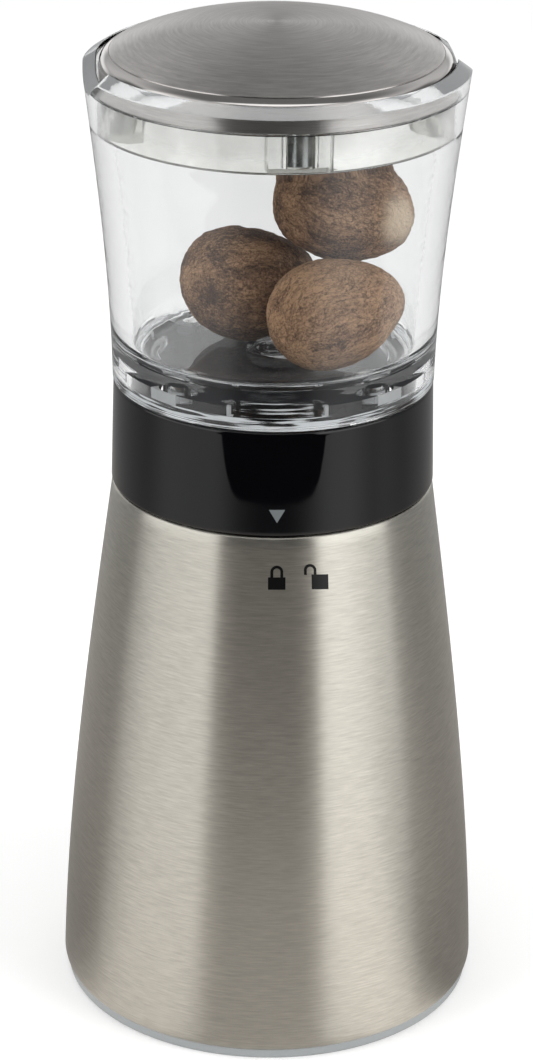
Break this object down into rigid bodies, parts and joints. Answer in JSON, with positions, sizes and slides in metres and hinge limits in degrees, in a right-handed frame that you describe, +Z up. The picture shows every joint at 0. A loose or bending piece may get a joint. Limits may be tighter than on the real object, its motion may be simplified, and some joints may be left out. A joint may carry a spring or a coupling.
{
  "type": "mechanical nutmeg grater",
  "caption": "Upright twist mill for whole nutmegs: flared steel body with a grater underneath, black locking collar, and a clear turning head that stores nutmegs under a magnetic steel lid.",
  "frame": {"origin": "on the table, under the mill's axis: the bottom centre of the foot", "axes": "+Z up along the mill's axis; -Y towards the front, where the lock marks are; +X to the right seen from the front"},
  "size_m": [0.0662, 0.0662, 0.1572],
  "materials": {
    "grey_foot": "pale grey, fine satin",
    "body_steel": "brushed round the body",
    "lid_steel": "brushed in circles",
    "grater_steel": "bright sheet",
    "screw_steel": "plated",
    "spring_steel": "drawn wire",
    "magnet_nickel": "nickel plated",
    "black_gloss": "polished black",
    "black_moulding": "moulded black",
    "pale_nylon": "natural nylon",
    "clear_acrylic": "clear, polished",
    "nutmeg": "dry, veined"
  },
  "bodies": {
    "base": {"foot_ring": "grey_foot", "steel_shell": "body_steel", "chamber_tube": "black_moulding", "bayonet_socket": "black_moulding", "grater_plate": "grater_steel", "grater_blades": "grater_steel", "blade_rivets": "grater_steel", "plate_screws": "screw_steel"},
    "collar": {"collar_ring": "black_gloss", "bayonet_carrier": "black_moulding", "thrust_washer": "pale_nylon"},
    "head": {"head_bowl": "clear_acrylic", "magnet_ring": "clear_acrylic", "lid_magnets": "magnet_nickel", "drive_hub": "black_moulding", "hub_screws": "screw_steel", "drive_sleeve": "black_moulding", "retaining_clip": "screw_steel", "clip_washer": "pale_nylon", "plunger_spring": "spring_steel", "nutmeg_left": "nutmeg", "nutmeg_right": "nutmeg", "nutmeg_top": "nutmeg"},
    "plunger": {"plunger_stem": "black_moulding", "stop_pin": "screw_steel", "claw_holder": "black_moulding", "claw_plate": "grater_steel", "claw_screw": "screw_steel"},
    "lid": {"lid_dome": "lid_steel", "lid_plate": "grater_steel"}
  },
  "joints": [
    {"name": "collar_unlock", "type": "hinge", "parent": "base", "child": "collar", "pos_m": [0, 0, 0.0938], "axis": [0, 0, 1], "range_deg": [0, 13]},
    {"name": "head_turn", "type": "hinge", "parent": "collar", "child": "head", "pos_m": [0, 0, 0.0988], "axis": [0, 0, 1], "continuous": true},
    {"name": "claw_slide", "type": "slide", "parent": "head", "child": "plunger", "axis": [0, 0, 1], "range_m": [0, 0.024], "stiffness_N_per_m": 400, "springref_m": -0.008, "deforming": ["plunger_spring"]},
    {"name": "lid_lift", "type": "slide", "parent": "head", "child": "lid", "axis": [0, 0, 1], "range_m": [0, 0.03]}
  ]
}
